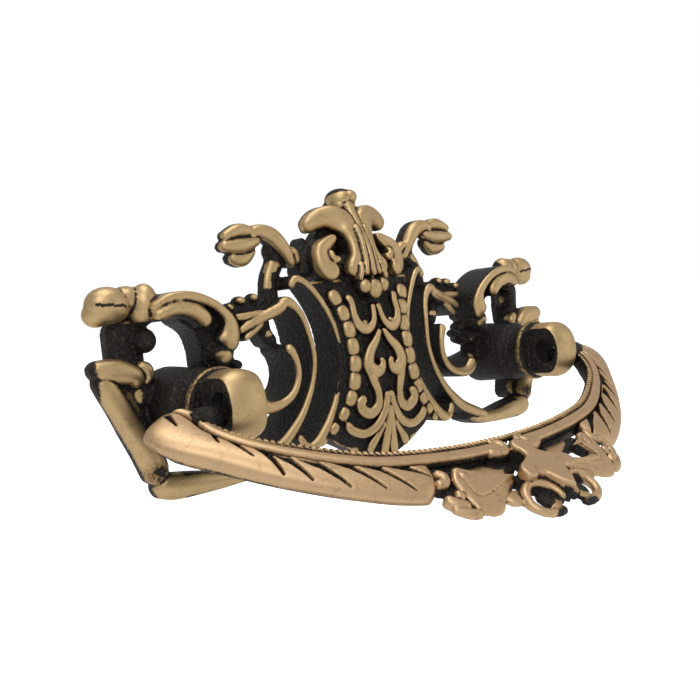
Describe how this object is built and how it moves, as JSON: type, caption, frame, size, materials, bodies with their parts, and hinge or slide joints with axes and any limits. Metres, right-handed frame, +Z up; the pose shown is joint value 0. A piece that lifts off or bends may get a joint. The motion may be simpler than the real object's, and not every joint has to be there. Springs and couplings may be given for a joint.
{
  "type": "bail pull",
  "caption": "Swinging bail drawer pull: a pierced scroll backplate, turned posts with cross bores, and a leaf-pattern bail on integral pivot pins.",
  "frame": {"origin": "midway between the two screw holes, on the plane of the drawer face that the plate lies against", "axes": "+X runs across the pull from left to right as seen from the front, +Y points into the drawer front, +Z is up"},
  "size_m": [0.1092, 0.0511, 0.0558],
  "materials": {
    "antique_brass": "cast brass, dark patina in the recesses, worn and brushed on the raised forms",
    "bail_brass": "cast brass, dark patina in the grooves, brushed and worn where the hand rubs it"
  },
  "bodies": {
    "mounting": {"backplate": "antique_brass", "post_left": "antique_brass", "post_right": "antique_brass"},
    "handle": {"bail": "bail_brass"}
  },
  "joints": [
    {"name": "bail_swing", "type": "hinge", "parent": "mounting", "child": "handle", "pos_m": [0, -0.0197, -0.00107], "axis": [1, 0, 0], "range_deg": [-95, 70]}
  ]
}
